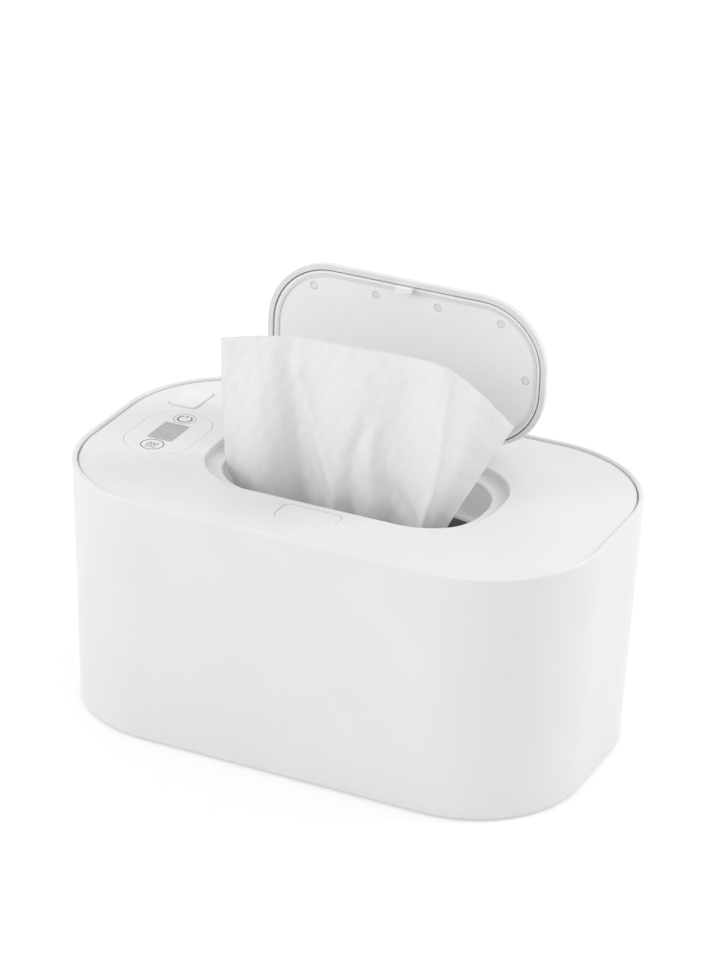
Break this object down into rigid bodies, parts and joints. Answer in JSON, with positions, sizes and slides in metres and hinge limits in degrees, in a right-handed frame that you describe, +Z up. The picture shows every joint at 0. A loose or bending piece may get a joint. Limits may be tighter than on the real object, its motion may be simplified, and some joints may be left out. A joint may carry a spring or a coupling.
{
  "type": "baby wipe warmer",
  "caption": "Tapered oblong tub with a heated inner tank, a hinged refill cover with controls, and a flip-up dispensing lid with a wipe pulled through.",
  "frame": {"origin": "on the rest plane under the feet, below the middle of the tub", "axes": "+Z up, +X along the tub away from the controls, +Y to the hinge side at the back"},
  "size_m": [0.24, 0.1448, 0.1853],
  "materials": {
    "housing_white": "satin white moulded plastic",
    "inner_white": "matt white moulded plastic",
    "panel_white": "smooth white panel with two printed keys",
    "button_milky": "milky white plastic",
    "window_smoke": "grey display window",
    "tank_plastic": "pale grey moulded plastic",
    "foam": "white closed-cell foam",
    "heater": "amber heating film",
    "thermostat_metal": "bare metal",
    "circuit_board": "green circuit board",
    "black_plastic": "black moulded plastic",
    "contact_plastic": "ivory moulded plastic",
    "contact_metal": "plated contacts",
    "magnet": "plated magnet",
    "steel": "bright steel",
    "rubber_grey": "grey rubber",
    "silicone": "white silicone",
    "catch_plastic": "white moulded plastic",
    "wipe_fabric": "soft white non-woven cloth"
  },
  "bodies": {
    "tub": {"outer_shell": "housing_white", "base_cover": "housing_white", "base_screws": "steel", "rubber_feet": "rubber_grey", "inner_tank": "tank_plastic", "tank_foam": "foam", "heater_film": "heater", "thermostat": "thermostat_metal", "power_board": "circuit_board", "dc_inlet": "black_plastic", "contact_block": "contact_plastic", "cover_hinge_pin": "steel", "shell_magnets": "magnet", "wipe_stack": "wipe_fabric"},
    "cover": {"top_cover": "housing_white", "cover_liner": "inner_white", "cover_screws": "steel", "cover_gasket": "silicone", "cover_magnets": "magnet", "contact_pads": "contact_metal", "control_panel": "panel_white", "display_window": "window_smoke", "display_module": "black_plastic", "control_board": "circuit_board", "touch_springs": "steel", "tact_switch": "black_plastic", "button_springs": "steel", "lid_hinge_pin": "steel", "lid_spring": "steel", "pulled_wipe": "wipe_fabric"},
    "lid": {"lid_shell": "housing_white", "lid_liner": "inner_white", "lid_seal": "silicone"},
    "lid_key": {"lid_button": "housing_white"},
    "catch": {"lid_catch": "catch_plastic"},
    "light_key": {"light_button": "button_milky"}
  },
  "joints": [
    {"name": "cover_hinge", "type": "hinge", "parent": "tub", "child": "cover", "pos_m": [0, 0.0704, 0.1134], "axis": [-1, 0, 0], "range_deg": [0, 100]},
    {"name": "lid_hinge", "type": "hinge", "parent": "cover", "child": "lid", "pos_m": [0, 0.0432, 0.107], "axis": [1, 0, 0], "range_deg": [0, 90], "stiffness_Nm_per_rad": 0.02, "springref_deg": -20.05, "deforming": ["pulled_wipe", "lid_spring"]},
    {"name": "lid_key_slide", "type": "slide", "parent": "cover", "child": "lid_key", "axis": [0, 0, -1], "range_m": [0, 0.0015], "stiffness_N_per_m": 300, "springref_m": -0.002, "deforming": ["button_springs"]},
    {"name": "catch_slide", "type": "slide", "parent": "cover", "child": "catch", "axis": [0, -1, 0], "range_m": [0, 0.0015]},
    {"name": "light_key_slide", "type": "slide", "parent": "cover", "child": "light_key", "axis": [0, 0, -1], "range_m": [0, 0.0006], "stiffness_N_per_m": 400, "springref_m": -0.001}
  ],
  "couplings": [
    {"joint": "catch_slide", "follows": "lid_key_slide", "ratio": 1}
  ]
}
